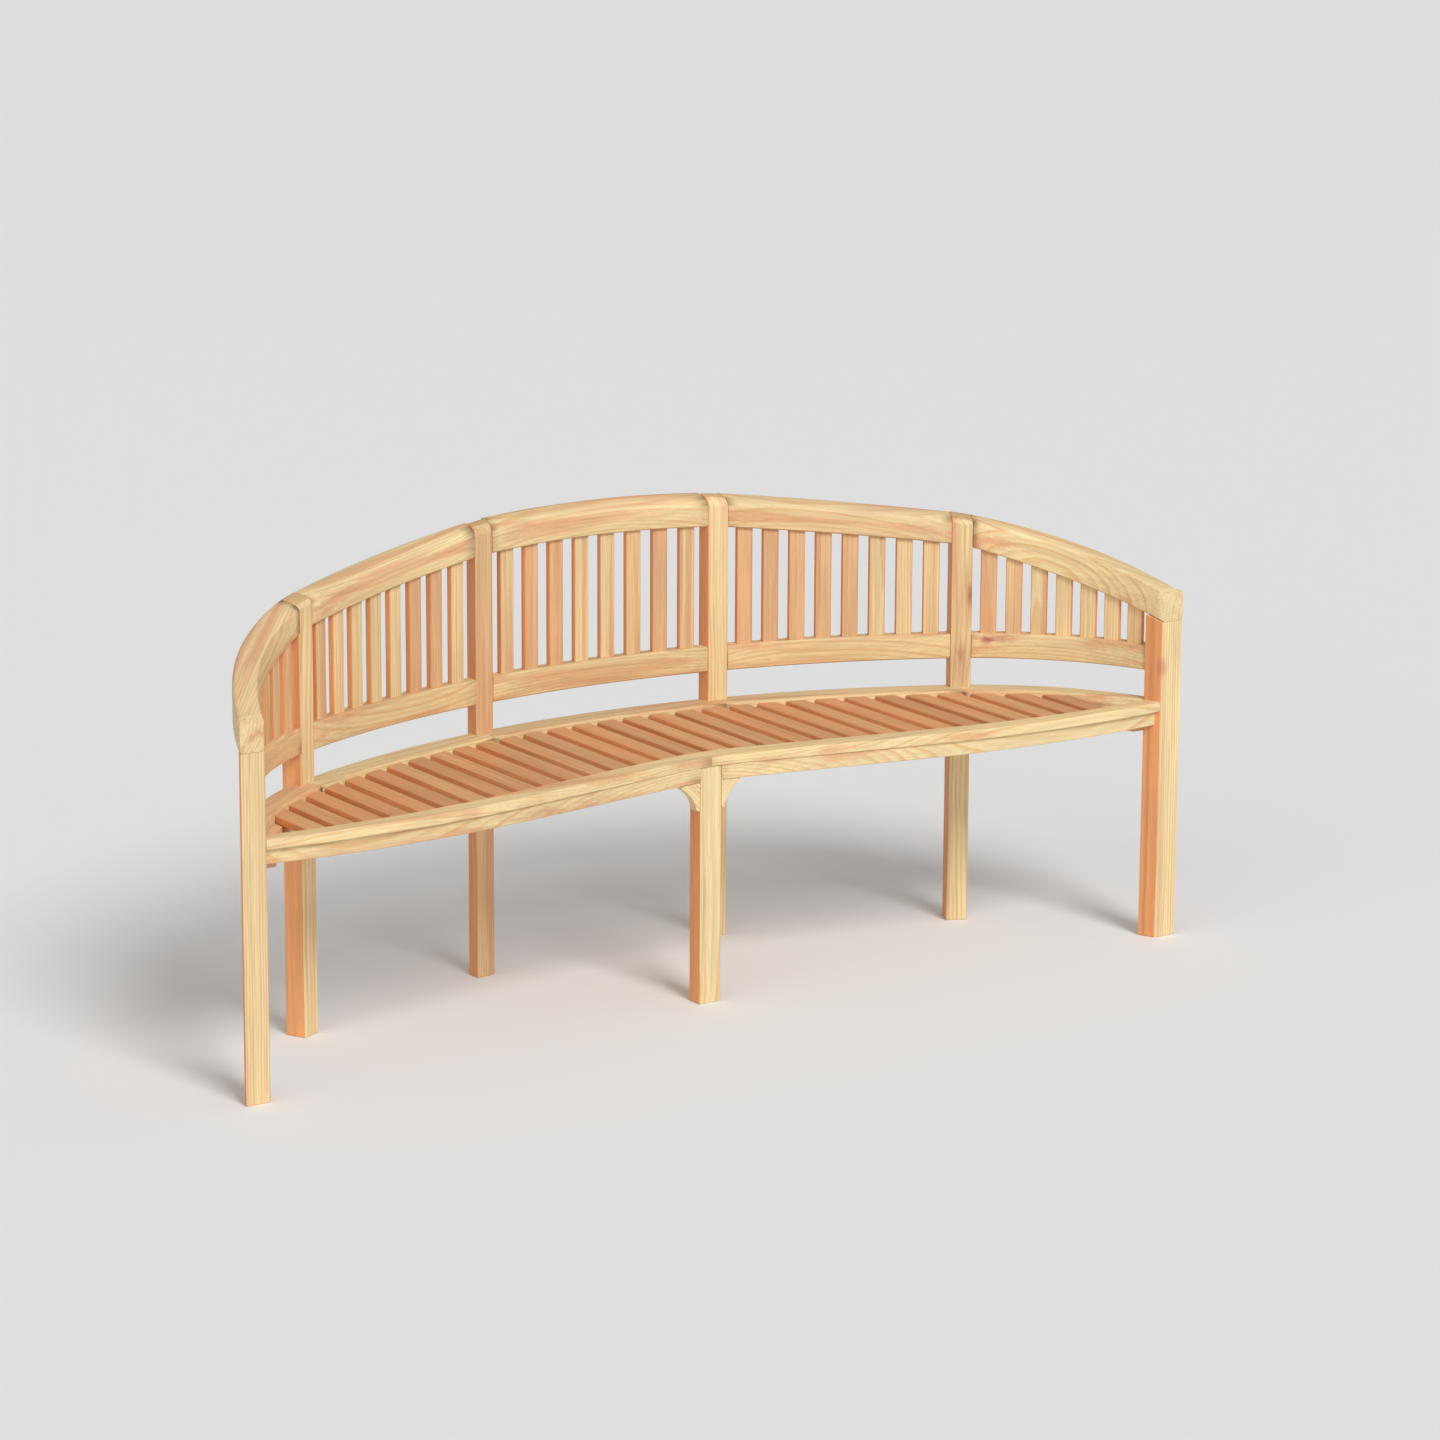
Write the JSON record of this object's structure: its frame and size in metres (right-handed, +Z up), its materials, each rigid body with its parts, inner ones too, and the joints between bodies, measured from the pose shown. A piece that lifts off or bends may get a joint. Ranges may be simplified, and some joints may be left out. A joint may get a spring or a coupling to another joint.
{
  "type": "curved garden bench",
  "caption": "Curved hardwood garden bench: arched slatted back whose top rail sweeps down onto the end posts, slatted crescent seat, straight square legs and small brackets at the middle front leg.",
  "frame": {"origin": "on the floor, at the middle of the bench's length and of its depth", "axes": "+X along the bench, to the right for someone who faces it; +Y to the back; +Z up"},
  "size_m": [1.9924, 0.5316, 0.858],
  "materials": {
    "post_wood": "bare golden hardwood, fine sanded, straight grain, satin",
    "rail_wood": "bare golden hardwood, fine sanded, eased edges, satin",
    "back_slat_wood": "bare golden hardwood, fine sanded, satin",
    "seat_slat_wood": "bare golden hardwood, fine sanded, pale upper faces, satin"
  },
  "bodies": {
    "root": {"end_post_left": "post_wood", "end_post_right": "post_wood", "back_post_outer_left": "post_wood", "back_post_outer_right": "post_wood", "back_post_inner_left": "post_wood", "back_post_inner_right": "post_wood", "front_leg_centre": "post_wood", "top_rail_centre": "rail_wood", "top_rail_middle_left": "rail_wood", "top_rail_middle_right": "rail_wood", "top_rail_end_left": "rail_wood", "top_rail_end_right": "rail_wood", "lower_rail_centre": "rail_wood", "lower_rail_middle_left": "rail_wood", "lower_rail_middle_right": "rail_wood", "lower_rail_end_left": "rail_wood", "lower_rail_end_right": "rail_wood", "back_slats_centre": "back_slat_wood", "back_slats_middle_left": "back_slat_wood", "back_slats_middle_right": "back_slat_wood", "back_slats_end_left": "back_slat_wood", "back_slats_end_right": "back_slat_wood", "seat_back_rail_centre": "rail_wood", "seat_back_rail_middle_left": "rail_wood", "seat_back_rail_middle_right": "rail_wood", "seat_back_rail_end_left": "rail_wood", "seat_back_rail_end_right": "rail_wood", "seat_front_board_left": "rail_wood", "seat_front_board_right": "rail_wood", "seat_front_rail_left": "rail_wood", "seat_front_rail_right": "rail_wood", "corner_bracket_left": "rail_wood", "corner_bracket_right": "rail_wood", "seat_bearer_centre": "rail_wood", "seat_slats_centre": "seat_slat_wood", "seat_slats_middle_left": "seat_slat_wood", "seat_slats_middle_right": "seat_slat_wood", "seat_slats_end_left": "seat_slat_wood", "seat_slats_end_right": "seat_slat_wood"}
  },
  "joints": []
}
